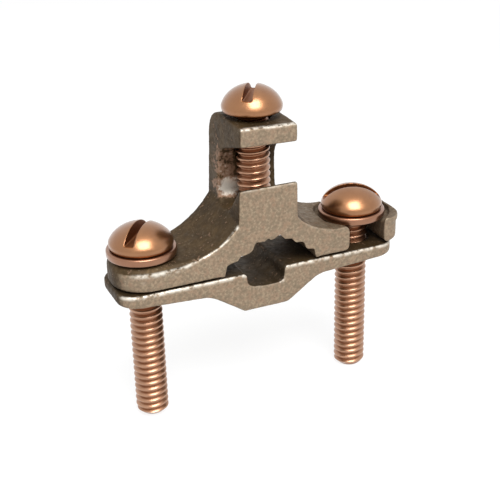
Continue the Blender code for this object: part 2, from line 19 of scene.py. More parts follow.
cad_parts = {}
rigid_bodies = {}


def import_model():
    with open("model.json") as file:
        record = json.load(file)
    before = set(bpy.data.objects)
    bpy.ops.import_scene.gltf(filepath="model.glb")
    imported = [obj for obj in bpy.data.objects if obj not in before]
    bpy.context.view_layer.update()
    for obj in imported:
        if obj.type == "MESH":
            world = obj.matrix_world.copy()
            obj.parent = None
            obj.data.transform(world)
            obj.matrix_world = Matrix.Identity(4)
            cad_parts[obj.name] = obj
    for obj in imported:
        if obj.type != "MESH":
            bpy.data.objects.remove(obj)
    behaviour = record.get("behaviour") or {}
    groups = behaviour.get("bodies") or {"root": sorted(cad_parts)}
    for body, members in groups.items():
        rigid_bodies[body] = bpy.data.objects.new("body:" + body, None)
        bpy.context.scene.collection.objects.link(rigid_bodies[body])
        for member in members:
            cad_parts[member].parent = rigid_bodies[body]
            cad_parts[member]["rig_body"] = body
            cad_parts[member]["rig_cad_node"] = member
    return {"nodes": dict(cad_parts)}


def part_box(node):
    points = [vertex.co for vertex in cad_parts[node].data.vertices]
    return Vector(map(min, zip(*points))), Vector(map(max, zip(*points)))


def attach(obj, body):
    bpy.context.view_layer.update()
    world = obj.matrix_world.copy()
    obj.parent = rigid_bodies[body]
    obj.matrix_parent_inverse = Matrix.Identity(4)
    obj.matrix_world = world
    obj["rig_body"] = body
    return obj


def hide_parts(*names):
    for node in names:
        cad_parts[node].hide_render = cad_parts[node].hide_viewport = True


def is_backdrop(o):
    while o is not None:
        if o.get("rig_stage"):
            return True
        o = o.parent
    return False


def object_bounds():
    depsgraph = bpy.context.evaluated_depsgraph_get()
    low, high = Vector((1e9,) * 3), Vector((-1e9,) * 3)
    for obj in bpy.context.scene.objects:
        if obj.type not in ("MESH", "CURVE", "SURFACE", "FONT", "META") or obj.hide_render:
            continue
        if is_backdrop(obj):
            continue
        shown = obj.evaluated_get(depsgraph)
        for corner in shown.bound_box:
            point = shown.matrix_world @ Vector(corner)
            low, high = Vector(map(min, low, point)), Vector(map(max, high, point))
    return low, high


bl_info = {
    "name": "Ground Clamp Looks",
    "version": (1, 0, 0),
    "blender": (4, 5, 0),
    "location": "3D View > Sidebar > Ground Clamp",
    "description": "Models the castings, screws and washers of a two-jaw ground clamp",
    "category": "Object",
}

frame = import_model()

MM = 0.001


def middle(node):
    """Middle of a node's box along X."""
    low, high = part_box(node)
    return (low.x + high.x) / 2


# The screws' axes along X, and the castings' front and back along Y
LEFT_AXIS = middle("left_clamp_screw")
RIGHT_AXIS = middle("right_clamp_screw")
WIRE_AXIS = middle("wire_screw")
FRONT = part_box("upper_jaw")[0].y
BACK = -FRONT

# Half the length of a tool that passes right through what it cuts
REACH = 9.0 * MM

# The sizes of a screw: its shank, its head's radius and rise, its slot, and how far its head sits low
CLAMP_SCREW = {
    "length": 34.5 * MM, "radius": 5.9 * MM, "rise": 4.3 * MM, "slot_depth": 2.5 * MM, "drop": 0.2 * MM}
WIRE_SCREW = {
    "length": 15.65 * MM, "radius": 5.57 * MM, "rise": 4.7 * MM, "slot_depth": 2.0 * MM, "drop": 0.0}

# How far the fillings of the notch stay inside the casting's front and back
NOTCH_MARGIN = 0.15 * MM

# How much a casting's mesh is drawn in, so that its relief stays inside the CAD box
KEEP_IN_BOX = (0.9994, 0.9968, 1.0)

# Painted glints, partly wear, on the lug's back wall: centre, stretch along X, Y and Z, and strength
GLINTS = (
    ((-2.9 * MM, 2.85 * MM, 13.9 * MM), (2.7, 4.0, 2.3), 1.0),
    ((-3.4 * MM, 2.85 * MM, 18.0 * MM), (2.4, 4.0, 5.2), 0.44),
)
# The warm rim of the painted glints, partly worn bronze
GLINT_AND_WEAR_BRONZE = (0.27, 0.165, 0.105)

# Roughness of the plating
SCREW_ROUGHNESS = 0.33
WASHER_ROUGHNESS = 0.36

# The room is brightest in this direction: the dot products between which it rises, and its levels
ROOM_FRONT = (0.45, -0.87, 0.2)
ROOM_SPREAD = (-0.5, 0.9)
ROOM_LEVELS = (0.55, 1.35)

# The floor's own glow and the grey that catches the shadow add up to white
FLOOR_GLOW = 0.86
FLOOR_GREY = 0.22

# The soft box stands at the mirror direction of the front edges
KEY_AIM = Vector((0.0, 0.0, 0.008))
KEY_TOWARD = Vector((-0.08, -0.57, 0.82))
KEY_DISTANCE = 0.5
KEY_SIZE = 0.30

# The fitted camera: azimuth, elevation and roll in degrees, then its place in mm along its own
# backward, right and upward directions, and its lens in mm
CAMERA_ANGLES = (23.505, 24.441, 1.468)
CAMERA_PLACE = (199.77, -0.193, 1.176)
CAMERA_LENS = 75.816

# Corners of the gripping jaw's steps along X and Z in mm, from its left foot to its right one
JAW_STEPS = (
    (-8.32, -0.6), (-8.3, 0.35), (-7.77, 2.45), (-6.83, 2.81), (-5.61, 3.05), (-5.24, 3.6), (-4.98, 3.78),
    (-4.05, 3.9), (-3.27, 4.12), (-2.6, 4.63), (-2.19, 5.6), (-1.85, 5.92), (-0.24, 5.81), (0.33, 6.19),
    (0.61, 6.25), (1.05, 5.88), (1.78, 6.01), (2.46, 6.43), (2.96, 6.55), (3.46, 6), (3.91, 5.53),
    (4.93, 5.38), (5.33, 5.3), (5.84, 4.63), (6.18, 4.39), (7.55, 4.17), (7.9, 3.88), (8.24, 2.9),
    (8.59, 2.6), (9.64, 2.44), (9.99, 2.2), (10.22, 1.01), (10.5, 0.35), (10.52, -0.6), (-8.32, -0.6),
)


class CastingSettings(bpy.types.PropertyGroup):
    """Sizes and colours of the two cast jaws."""

    grain: FloatProperty(
        name="Surface Mesh Size", description="Size of the mesh that carries the cast relief",
        default=0.205 * MM, min=0.15 * MM, max=1.0 * MM, subtype="DISTANCE", unit="LENGTH", precision=5)
    relief: FloatProperty(
        name="Cast Relief", description="Height of the uneven foundry skin",
        default=0.08 * MM, min=0.0, max=0.5 * MM, subtype="DISTANCE", unit="LENGTH", precision=5)
    edge_relief: FloatProperty(
        name="Ragged Edges", description="Height of the unevenness along the cast edges",
        default=0.14 * MM, min=0.0, max=0.6 * MM, subtype="DISTANCE", unit="LENGTH", precision=5)
    face_colour: FloatVectorProperty(
        name="Ground Face", description="Colour of the pale ground faces",
        default=(0.285, 0.218, 0.146), min=0.0, max=1.0, subtype="COLOR")
    # The skin colour is partly the real foundry skin and partly painted shade on the sides, tops and
    # hollows
    skin_and_shade_colour: FloatVectorProperty(
        name="Foundry Skin", description="Colour of the darker skin that is left as cast",
        default=(0.063, 0.037, 0.013), min=0.0, max=1.0, subtype="COLOR")
    # Painted highlight along the rounded front edges and on the glint
    edge_highlight_colour: FloatVectorProperty(
        name="Bright Edge", description="Colour of bare metal along rubbed edges",
        default=(0.86, 0.80, 0.70), min=0.0, max=1.0, subtype="COLOR")


class ScrewSettings(bpy.types.PropertyGroup):
    """Sizes and colours of the three screws and the two washers."""

    pitch: FloatProperty(
        name="Thread Pitch", description="Distance from one thread to the next",
        default=1.27 * MM, min=0.5 * MM, max=3.0 * MM, subtype="DISTANCE", unit="LENGTH", precision=5)
    crest_radius: FloatProperty(
        name="Thread Radius", description="Radius over the crests of the threads",
        default=3.1 * MM, min=1.0 * MM, max=6.0 * MM, subtype="DISTANCE", unit="LENGTH", precision=5)
    thread_depth: FloatProperty(
        name="Thread Depth", description="Depth of the threads from crest to root",
        default=0.62 * MM, min=0.1 * MM, max=1.5 * MM, subtype="DISTANCE", unit="LENGTH", precision=5)
    fullness: FloatProperty(
        name="Head Fullness", description="Shape of the crown, from a shallow ball to an oval",
        default=0.4, min=0.0, max=1.0, subtype="FACTOR")
    slot_width: FloatProperty(
        name="Slot Width", description="Width of the driver slots",
        default=1.75 * MM, min=0.5 * MM, max=3.0 * MM, subtype="DISTANCE", unit="LENGTH", precision=5)
    steps: IntProperty(
        name="Thread Steps", description="Number of facets round a thread",
        default=56, min=16, max=128)
    copper: FloatVectorProperty(
        name="Screw Copper", description="Colour of the copper-plated heads, which are golden",
        default=(0.34, 0.15, 0.056), min=0.0, max=1.0, subtype="COLOR")
    thread_copper: FloatVectorProperty(
        name="Thread Copper", description="Colour of the threads, which are paler and pinker",
        default=(0.46, 0.245, 0.14), min=0.0, max=1.0, subtype="COLOR")
    # Tarnish, also used as painted shade in the slots, the thread roots and under the heads
    tarnish_and_shade: FloatVectorProperty(
        name="Tarnish", description="Colour of the plating in slots and thread roots",
        default=(0.20, 0.065, 0.02), min=0.0, max=1.0, subtype="COLOR")
    washer_copper: FloatVectorProperty(
        name="Washer Copper", description="Colour of the washers, which are redder",
        default=(0.31, 0.14, 0.07), min=0.0, max=1.0, subtype="COLOR")


class StageSettings(bpy.types.PropertyGroup):
    """Floor, light and camera."""

    floor_gap: FloatProperty(
        name="Floor Gap", description="Distance from the screw tips down to the floor",
        default=0.1 * MM, min=0.0, max=20.0 * MM, subtype="DISTANCE", unit="LENGTH", precision=5)
    floor_colour: FloatVectorProperty(
        name="Floor", description="Colour of the pale floor",
        default=(0.90, 0.90, 0.90), min=0.0, max=1.0, subtype="COLOR")
    key_power: FloatProperty(
        name="Soft Box", description="Power of the soft box above the front",
        default=3.0, min=0.0, max=20.0, subtype="POWER", unit="POWER")
    room: FloatProperty(
        name="Room Light", description="Strength of the even light all round",
        default=0.46, min=0.0, max=3.0, subtype="FACTOR")


# Selection and modifiers

def deselect_all():
    """Leave nothing selected, so that an operator acts only on what is picked next."""
    bpy.ops.object.select_all(action="DESELECT")


def pick(*objects):
    """Select these objects and make the first one active."""
    deselect_all()
    for obj in objects:
        obj.select_set(True)
    bpy.context.view_layer.objects.active = objects[0]


def apply_modifier(obj, kind, **settings):
    """Add a modifier, set it up and apply it."""
    pick(obj)
    modifier = obj.modifiers.new(kind.lower(), kind)
    for key, value in settings.items():
        setattr(modifier, key, value)
    bpy.ops.object.modifier_apply(modifier=modifier.name)


def cut(obj, tool, operation="DIFFERENCE"):
    """Cut, join or intersect a piece with a tool, and remove the tool."""
    apply_modifier(obj, "BOOLEAN", object=tool, operation=operation, solver="EXACT")
    bpy.data.objects.remove(tool, do_unlink=True)


def edit_all(obj):
    """Enter edit mode with the whole mesh selected."""
    pick(obj)
    bpy.ops.object.mode_set(mode="EDIT")
    bpy.ops.mesh.select_mode(type="VERT")
    bpy.ops.mesh.select_all(action="SELECT")


def leave_edit():
    """Back to object mode."""
    bpy.ops.object.mode_set(mode="OBJECT")


def edit_chosen(obj, kind, chosen):
    """Enter edit mode with only those edges or faces selected that pass a test."""
    edit_all(obj)
    bpy.ops.mesh.select_all(action="DESELECT")
    bpy.ops.mesh.select_mode(type=kind)
    leave_edit()
    for part in obj.data.edges if kind == "EDGE" else obj.data.polygons:
        part.select = bool(chosen(part))
    bpy.ops.object.mode_set(mode="EDIT")


def shade_smooth(obj, angle):
    """Shade smooth, but leave edges sharp that are steeper than an angle in degrees."""
    obj.data.shade_smooth()
    pick(obj)
    bpy.ops.object.shade_smooth_by_angle(angle=math.radians(angle))


def tidy_mesh(obj):
    """Merge doubles and turn every face outwards."""
    edit_all(obj)
    bpy.ops.mesh.remove_doubles(threshold=0.002 * MM)
    bpy.ops.mesh.normals_make_consistent(inside=False)
    leave_edit()


def settle(obj):
    """Put the place and turn of an object into its mesh."""
    pick(obj)
    bpy.ops.object.transform_apply(location=True, rotation=True, scale=True)


# Shapes

def drawn_line(name, points):
    """An open line of (x, z) points, drawn by extruding one vertex from point to point."""
    deselect_all()
    bpy.ops.mesh.primitive_plane_add(size=1.0 * MM)
    obj = bpy.context.object
    obj.name = name
    edit_all(obj)
    bpy.ops.mesh.merge(type="CENTER")
    bpy.ops.transform.translate(value=(points[0][0], 0, points[0][1]))
    for (x0, z0), (x1, z1) in zip(points, points[1:]):
        bpy.ops.mesh.extrude_region_move(TRANSFORM_OT_translate={"value": (x1 - x0, 0, z1 - z0)})
    leave_edit()
    return obj


def prism(name, outline, start, step, count=1):
    """A solid with a closed outline of (x, z) points, extruded backwards step by step."""
    obj = drawn_line(name, outline)
    edit_all(obj)
    bpy.ops.mesh.remove_doubles(threshold=0.002 * MM)
    bpy.ops.mesh.select_all(action="SELECT")
    bpy.ops.mesh.edge_face_add()
    bpy.ops.transform.translate(value=(0, start, 0))
    for _ in range(count):
        bpy.ops.mesh.extrude_region_move(TRANSFORM_OT_translate={"value": (0, step, 0)})
    leave_edit()
    tidy_mesh(obj)
    return obj


def turned(name, profile, steps):
    """A solid of revolution about Z from a profile of (radius, z)."""
    obj = drawn_line(name, profile)
    edit_all(obj)
    bpy.ops.mesh.spin(steps=steps, angle=math.tau, center=(0, 0, 0), axis=(0, 0, 1))
    leave_edit()
    tidy_mesh(obj)
    return obj


def block(name, low, high):
    """A box between two corners, as a tool or the start of a piece."""
    deselect_all()
    size = [b - a for a, b in zip(low, high)]
    place = [(a + b) / 2 for a, b in zip(low, high)]
    bpy.ops.mesh.primitive_cube_add(size=1.0, location=place, scale=size)
    obj = bpy.context.object
    obj.name = name
    settle(obj)
    return obj


def post(name, x, radius, low, high):
    """An upright cylinder on the clamp's middle plane, as a tool."""
    deselect_all()
    bpy.ops.mesh.primitive_cylinder_add(
        vertices=96, radius=radius, depth=high - low, location=(x, 0.0, (low + high) / 2))
    obj = bpy.context.object
    obj.name = name
    settle(obj)
    return obj


def bevel_edges(obj, chosen, width, segments):
    """Round the edges whose middle and direction pass a test."""
    def passes(edge):
        first, second = (obj.data.vertices[i].co for i in edge.vertices)
        return chosen((first + second) / 2, (second - first).normalized())

    edit_chosen(obj, "EDGE", passes)
    bpy.ops.mesh.bevel(offset=width, segments=segments, affect="EDGES")
    leave_edit()


def mesh_arrays(obj):
    """Vertex places, vertex normals and edges of a mesh as arrays."""
    mesh = obj.data
    places = np.zeros(len(mesh.vertices) * 3, np.float32)
    normals = np.zeros(len(mesh.vertices) * 3, np.float32)
    edges = np.zeros(len(mesh.edges) * 2, np.int32)
    mesh.vertices.foreach_get("co", places)
    mesh.vertices.foreach_get("normal", normals)
    mesh.edges.foreach_get("vertices", edges)
    return places.reshape(-1, 3).astype(float), normals.reshape(-1, 3).astype(float), edges.reshape(-1, 2)


def smoothed(values, edges, rounds):
    """Average each vertex's values with its neighbours' a number of times."""
    count = len(values)
    degree = np.bincount(edges.ravel(), minlength=count).astype(float)[:, None] + 1.0
    for _ in range(rounds):
        total = values.copy()
        for column in range(values.shape[1]):
            total[:, column] += np.bincount(edges[:, 0], values[edges[:, 1], column], count)
            total[:, column] += np.bincount(edges[:, 1], values[edges[:, 0], column], count)
        values = total / degree
    return values


def store(obj, name, values):
    """Keep one number a vertex on the mesh for the material to read."""
    layer = obj.data.attributes.new(name, "FLOAT", "POINT")
    layer.data.foreach_set("value", np.asarray(values, np.float32))


def convexity(obj, rounds):
    """How far each vertex stands out of the smoothed surface, in metres: edges are positive."""
    places, normals, edges = mesh_arrays(obj)
    return ((places - smoothed(places, edges, rounds)) * normals).sum(axis=1)


def ramp(values, low, high):
    """0 at low, 1 at high, straight in between."""
    return np.clip((values - low) / (high - low), 0.0, 1.0)


# Materials

class Graph:
    """Short calls to lay out the nodes of one material."""

    def __init__(self, name, metallic):
        self.material = bpy.data.materials.new(name)
        self.material.use_nodes = True
        self.tree = self.material.node_tree
        self.shader = self.tree.nodes["Principled BSDF"]
        self.shader.inputs["Metallic"].default_value = metallic
        self.coords = self.tree.nodes.new("ShaderNodeTexCoord").outputs["Object"]

    def put(self, socket, value):
        """Link a socket to an input, or set the input's own value."""
        if isinstance(value, bpy.types.NodeSocket):
            self.tree.links.new(value, socket)
        elif hasattr(value, "__len__"):
            socket.default_value = (*value, 1.0)
        else:
            socket.default_value = value

    def noise(self, size, detail, roughness, stretch=None):
        """Noise whose lumps are about size metres across."""
        node = self.tree.nodes.new("ShaderNodeTexNoise")
        node.inputs["Scale"].default_value = 1.0 / size
        node.inputs["Detail"].default_value = detail
        node.inputs["Roughness"].default_value = roughness
        coords = self.coords
        if stretch:
            mapping = self.tree.nodes.new("ShaderNodeMapping")
            mapping.inputs["Scale"].default_value = stretch
            self.put(mapping.inputs["Vector"], coords)
            coords = mapping.outputs["Vector"]
        self.put(node.inputs["Vector"], coords)
        return node.outputs["Fac"]

    def attribute(self, name):
        """A number stored on the mesh."""
        node = self.tree.nodes.new("ShaderNodeAttribute")
        node.attribute_name = name
        return node.outputs["Fac"]

    def remap(self, value, low, high, new_low=0.0, new_high=1.0):
        """Ease from one range of values to another, clamped."""
        node = self.tree.nodes.new("ShaderNodeMapRange")
        node.interpolation_type = "SMOOTHSTEP"
        sockets = ("Value", "From Min", "From Max", "To Min", "To Max")
        for socket, number in zip(sockets, (value, low, high, new_low, new_high)):
            self.put(node.inputs[socket], number)
        return node.outputs["Result"]

    def maths(self, operation, first, second):
        """One arithmetic step."""
        node = self.tree.nodes.new("ShaderNodeMath")
        node.operation = operation
        self.put(node.inputs[0], first)
        self.put(node.inputs[1], second)
        return node.outputs["Value"]

    def mix(self, factor, first, second):
        """Mix two colours."""
        node = self.tree.nodes.new("ShaderNodeMix")
        node.data_type = "RGBA"
        self.put(node.inputs["Factor"], factor)
        self.put(node.inputs[6], first)
        self.put(node.inputs[7], second)
        return node.outputs[2]

    def bump(self, height, distance, strength):
        """Fine relief from a height."""
        node = self.tree.nodes.new("ShaderNodeBump")
        node.inputs["Distance"].default_value = distance
        node.inputs["Strength"].default_value = strength
        self.put(node.inputs["Height"], height)
        return node.outputs["Normal"]

    def finish(self, colour, roughness, normal):
        """Link what varies to the shader."""
        for socket, value in (("Base Color", colour), ("Roughness", roughness), ("Normal", normal)):
            self.put(self.shader.inputs[socket], value)
        return self.material


def shade(colour, factor):
    """A lighter or darker version of a colour."""
    return tuple(min(1.0, channel * factor) for channel in colour)


def cast_bronze(name, settings):
    """Bronze as it leaves the foundry: a dark skin with painted shade, paler ground faces and painted edge
    highlights.
    """
    g = Graph(name, 0.6)
    face_colour, skin_and_shade_colour = settings.face_colour, settings.skin_and_shade_colour
    speckle = g.noise(0.5 * MM, 2.0, 0.55)
    mottle = g.noise(1.1 * MM, 4.0, 0.6)
    cloud = g.noise(5.0 * MM, 3.0, 0.55)
    warm = (face_colour[0] * 1.06, face_colour[1] * 0.98, face_colour[2] * 0.98)
    face = g.mix(g.remap(mottle, 0.35, 0.65), shade(face_colour, 0.84), warm)
    face = g.mix(g.remap(speckle, 0.3, 0.5, 0.85, 0.0), face, shade(face_colour, 0.7))
    face = g.mix(g.remap(speckle, 0.5, 0.66, 0.0, 0.7), face, shade(face_colour, 1.3))
    skin = g.mix(g.remap(cloud, 0.35, 0.65), shade(skin_and_shade_colour, 0.72), shade(skin_and_shade_colour, 1.35))
    skin = g.mix(g.remap(mottle, 0.35, 0.7, 0.0, 0.6), skin, shade(skin_and_shade_colour, 0.6))
    skin = g.mix(g.remap(speckle, 0.6, 0.75, 0.0, 0.45), skin, shade(face_colour, 0.7))
    # Painted shade: the sides and tops get the dark skin colour, the front and back faces the pale one
    skin_and_shade_amount = g.maths("ADD", g.attribute("skin"), g.remap(mottle, 0.2, 0.8, -0.1, 0.1))
    colour = g.mix(g.remap(skin_and_shade_amount, 0.3, 0.9), face, skin)
    # Painted shade in the hollows and between the jaws
    pocket_shade = g.maths("MULTIPLY", g.attribute("pocket_shade"), g.remap(mottle, 0.2, 0.7, 1.0, 0.6))
    colour = g.mix(pocket_shade, colour, shade(skin_and_shade_colour, 0.35))
    uneven = g.maths(
        "ADD", g.remap(mottle, 0.3, 0.7, -0.22, 0.22), g.remap(speckle, 0.3, 0.7, -0.12, 0.12))
    # Painted glint on the lug's back wall, with a warm rim of wear
    glint = g.maths("ADD", g.attribute("glint"), uneven)
    colour = g.mix(g.remap(glint, 0.15, 0.42), colour, GLINT_AND_WEAR_BRONZE)
    # Painted highlight along the front edges and at the glint
    ragged = g.remap(g.noise(1.3 * MM, 2.0, 0.6), 0.33, 0.58)
    highlighted = g.maths("MULTIPLY", g.attribute("edge"), ragged)
    highlighted = g.maths("MAXIMUM", highlighted, g.remap(glint, 0.45, 1.0, 0.0, 0.9))
    colour = g.mix(highlighted, colour, settings.edge_highlight_colour)
    dull = g.remap(mottle, 0.3, 0.7, 0.5, 0.68)
    roughness = g.maths("SUBTRACT", dull, g.maths("MULTIPLY", highlighted, 0.25))
    grit = g.maths("ADD", g.maths("MULTIPLY", speckle, 0.8), mottle)
    return g.finish(colour, roughness, g.bump(grit, 0.08 * MM, 0.6))


def plated_copper(name, settings, bright, roughness):
    """Satin copper plating: golden heads, paler threads, tarnish with painted shade and no coat where it is
    sunk.
    """
    g = Graph(name, 1.0)
    cloud = g.noise(2.6 * MM, 3.0, 0.6)
    fleck = g.noise(0.4 * MM, 3.0, 0.6)
    scratch = g.noise(0.9 * MM, 2.0, 0.6, stretch=(1.0, 5.0, 1.0))
    colour = g.mix(g.attribute("thread"), bright, settings.thread_copper)
    colour = g.mix(g.remap(cloud, 0.3, 0.7), g.mix(0.22, colour, settings.tarnish_and_shade), colour)
    colour = g.mix(g.remap(fleck, 0.58, 0.78, 0.0, 0.4), colour, settings.tarnish_and_shade)
    # Tarnish and painted shade where the screw is sunk
    sunk_tarnish_and_shade = g.maths("MULTIPLY", g.attribute("sunk_tarnish_and_shade"), g.remap(fleck, 0.2, 0.8, 1.0, 0.8))
    g.put(g.shader.inputs["Coat Weight"], g.remap(sunk_tarnish_and_shade, 0.0, 0.8, 1.0, 0.0))
    g.shader.inputs["Coat IOR"].default_value = 1.5
    g.shader.inputs["Coat Roughness"].default_value = roughness - 0.08
    colour = g.mix(sunk_tarnish_and_shade, colour, settings.tarnish_and_shade)
    # Painted shadow on the threads just under the head
    colour = g.mix(g.remap(sunk_tarnish_and_shade, 1.0, 1.5), colour, shade(settings.tarnish_and_shade, 0.3))
    dull = g.remap(scratch, 0.35, 0.7, roughness - 0.04, roughness + 0.06)
    dull = g.maths("ADD", dull, g.maths("MULTIPLY", sunk_tarnish_and_shade, 0.2))
    relief = g.maths("ADD", g.maths("MULTIPLY", scratch, 0.5), fleck)
    return g.finish(colour, dull, g.bump(relief, 0.015 * MM, 0.4))


# Castings

def casting_copy(node, name):
    """A merged copy of a CAD casting that can be reworked."""
    source = frame["nodes"][node]
    obj = source.copy()
    obj.data = source.data.copy()
    obj.name = name
    obj.parent = None
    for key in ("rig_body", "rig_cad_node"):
        if key in obj:
            del obj[key]
    bpy.context.scene.collection.objects.link(obj)
    edit_all(obj)
    bpy.ops.mesh.remove_doubles(threshold=0.001 * MM)
    leave_edit()
    obj.data.materials.clear()
    return obj


def seat_rim():
    """The low rim that stands in front of the right washer, on both prongs of the slot."""
    left, right, behind = 10.8 * MM, 29.6 * MM, -2.0 * MM
    low, high = 4.2 * MM, 5.4 * MM
    corner_radius, lip_radius, seat_radius = 4.0 * MM, 1.1 * MM, 7.4 * MM
    slot_centre, half_slot = RIGHT_AXIS - 0.2 * MM, 3.75 * MM
    near = 0.01 * MM
    rim = block("seat_rim", (left, FRONT, low), (right, behind, high))
    bevel_edges(
        rim, lambda at, along: abs(along.z) > 0.9 and at.x > right - near and at.y < FRONT + near,
        corner_radius, 8)
    cut(rim, block(
        "slot_tool", (slot_centre - half_slot, -REACH, 0), (slot_centre + half_slot, 1.0 * MM, REACH)))
    bevel_edges(
        rim, lambda at, along: abs(along.y) > 0.9 and at.z > high - near
        and abs(abs(at.x - slot_centre) - half_slot) < near, lip_radius, 4)
    cut(rim, post("washer_tool", RIGHT_AXIS, seat_radius, 0.0, REACH))
    return rim


def jaw_plug():
    """The block that fills the jaw's coarse opening before the crisp steps are cut into it."""
    top = 7.2 * MM
    plug = block("jaw_plug", (-8.8 * MM, FRONT, 0.35 * MM), (11.0 * MM, BACK, top))
    bevel_edges(plug, lambda at, along: abs(along.y) > 0.9 and at.z > top - 0.2 * MM, 3.2 * MM, 1)
    return plug


def finely(points, step):
    """The same line with more points, none further apart than a step."""
    line = [points[0]]
    for (x0, z0), (x1, z1) in zip(points, points[1:]):
        parts = max(1, math.ceil(math.hypot(x1 - x0, z1 - z0) / step))
        for part in range(1, parts + 1):
            line.append((x0 + (x1 - x0) * part / parts, z0 + (z1 - z0) * part / parts))
    return line


def serration():
    """The tool that cuts the crisp steps of the gripping jaw, a little uneven from front to back."""
    corners = [(x * MM, z * MM) for x, z in JAW_STEPS]
    step = 0.6 * MM
    tool = prism("serration_tool", finely(corners, 0.45 * MM), FRONT - step, step, 25)
    texture = bpy.data.textures.new("serration_relief", "CLOUDS")
    texture.noise_scale = 0.9 * MM
    apply_modifier(
        tool, "DISPLACE", texture=texture, texture_coords="LOCAL", direction="Z", mid_level=0.5,
        strength=0.12 * MM)
    return tool


def notch_fillet():
    """The fillet in the notch's right corner, which widens towards the back."""
    corner_x, corner_z, radius = 3.75 * MM, -3.05 * MM, 1.0 * MM
    arc = [(corner_x - radius + radius * math.sin(turn), corner_z + radius - radius * math.cos(turn))
           for turn in (math.pi / 2 * step / 8 for step in range(9))]
    skirt = 0.5 * MM
    outline = arc + [
        (corner_x + skirt, corner_z + radius), (corner_x + skirt, corner_z - skirt),
        (arc[0][0], corner_z - skirt), arc[0]]
    fillet = prism("notch_fillet", outline, FRONT + 0.2 * MM, 2 * (BACK - NOTCH_MARGIN))
    # Only the back end is widened and moved
    edit_chosen(fillet, "FACE", lambda face: face.normal.y > 0.9)
    bpy.ops.transform.resize(value=(3.2, 1.0, 3.2), center_override=(corner_x, 0.0, corner_z))
    bpy.ops.transform.translate(value=(-0.25 * MM, 0, 0))
    leave_edit()
    return fillet


def notch_slope():
    """The shallow slope in the notch's left corner, from front to back."""
    corners = (
        (-3.7, -2.0), (-3.14, -2.45), (-2.2, -2.77), (0.15, -3.1), (0.15, -3.6), (-3.7, -3.6), (-3.7, -2.0))
    outline = [(x * MM, z * MM) for x, z in corners]
    return prism("notch_slope", outline, FRONT + NOTCH_MARGIN, 2 * (BACK - NOTCH_MARGIN))


def scatter_noise(obj, name, size, strength, group=""):
    """Push the surface in and out by a cloud pattern."""
    texture = bpy.data.textures.new(name, "CLOUDS")
    texture.noise_scale = size
    texture.noise_depth = 2
    apply_modifier(
        obj, "DISPLACE", texture=texture, texture_coords="LOCAL", direction="NORMAL",
        mid_level=0.62, strength=strength, vertex_group=group)


def weight(obj, name, values):
    """Make a vertex group from one number a vertex, without the ones that hardly count."""
    group = obj.vertex_groups.new(name=name)
    for index in np.nonzero(values > 0.04)[0]:
        group.add([int(index)], float(values[index]), "REPLACE")


def cast_surface(obj, settings):
    """Give a casting its mesh, its uneven foundry skin and its ragged edges."""
    apply_modifier(obj, "REMESH", mode="VOXEL", voxel_size=settings.grain, use_smooth_shade=True)
    apply_modifier(obj, "SMOOTH", factor=0.5, iterations=2)
    weight(obj, "flats", 1.0 - ramp(np.abs(convexity(obj, 5)), 0.02 * MM, 0.06 * MM))
    apply_modifier(obj, "SMOOTH", factor=0.5, iterations=14, vertex_group="flats")
    weight(obj, "edges", ramp(convexity(obj, 7), 0.035 * MM, 0.12 * MM))
    scatter_noise(obj, obj.name + "_skin_relief", 1.3 * MM, settings.relief)
    scatter_noise(obj, obj.name + "_edge_relief", 0.55 * MM, settings.edge_relief, "edges")
    obj.vertex_groups.clear()
    edit_all(obj)
    bpy.ops.transform.resize(value=KEEP_IN_BOX, center_override=(0.0, 0.0, 0.0))
    leave_edit()


def where_highlighted(places):
    """How much painted highlight the front edge gets: little on the shoulder, none in the notch."""
    x, z = places[:, 0], places[:, 2]
    keep = np.where((z > 1.0 * MM) & (z < 14.0 * MM), 1.0 - 0.85 * ramp(x, 4.0 * MM, 6.0 * MM), 0.9)
    keep = np.where((z > 14.0 * MM) & (z < 20.0 * MM), 0.55, keep)
    return np.where((z < -1.2 * MM) & (x < 2.5 * MM), 0.1, keep)


def outer_faces(places):
    """1 on the ground front and back faces and on the ears' ends, 0 between them."""
    return np.maximum(
        ramp(np.abs(places[:, 1]), 4.9 * MM, 5.7 * MM), ramp(np.abs(places[:, 0]), 24.3 * MM, 24.9 * MM))


def skin_and_painted_shade(places, facing, outside, rolled_ear, lug):
    """Dark skin and painted shade: none on upright outer faces, darker sides and tops, less on the lit
    shoulder.
    """
    lowest = 0.50 - 0.36 * rolled_ear
    upright = (1.0 - ramp(facing[:, 2], lowest, lowest + 0.18)) * (1.0 - ramp(-facing[:, 2], 0.75, 0.92))
    upright *= ramp(np.abs(facing[:, 1]), 0.25, 0.85)
    # Painted light: less dark skin on the right shoulder, which is lit
    lit = ramp(places[:, 0], 7.5 * MM, 9.0 * MM) * (places[:, 2] < 9.0 * MM) * lug
    return (1.0 - upright * outside) * (1.0 - 0.36 * lit)


def painted_edge_highlight(places, facing, outside, rolled_ear, lug):
    """Painted highlight along the rounded edges between the front face and the tops, where they face the
    light.
    """
    upward, forward = facing[:, 2], -facing[:, 1]
    if lug:
        lowest = 0.50 - 0.36 * rolled_ear
        rolled = ramp(upward, lowest - 0.12, lowest) * (1.0 - ramp(upward, lowest + 0.1, lowest + 0.25))
        rolled *= 1.0 - rolled_ear * (1.0 - ramp(forward, 0.7, 0.93))
    else:
        rolled = ramp(upward, 0.1, 0.3) * (1.0 - ramp(upward, 0.75, 0.92))
        rolled *= ramp(forward, 0.2, 0.45) * (0.75 + 0.4 * ramp(-places[:, 0], 14.0 * MM, 20.0 * MM))
    highlighted = np.minimum(1.0, rolled) * ramp(forward, 0.2, 0.45) * outside * where_highlighted(places)
    if lug:
        strip = ramp(-places[:, 1], 5.9 * MM, 6.4 * MM) * ramp(upward, 0.5, 0.7)
        highlighted = np.maximum(highlighted, 0.8 * strip * ramp(places[:, 2], 26.0 * MM, 26.5 * MM))
    return highlighted


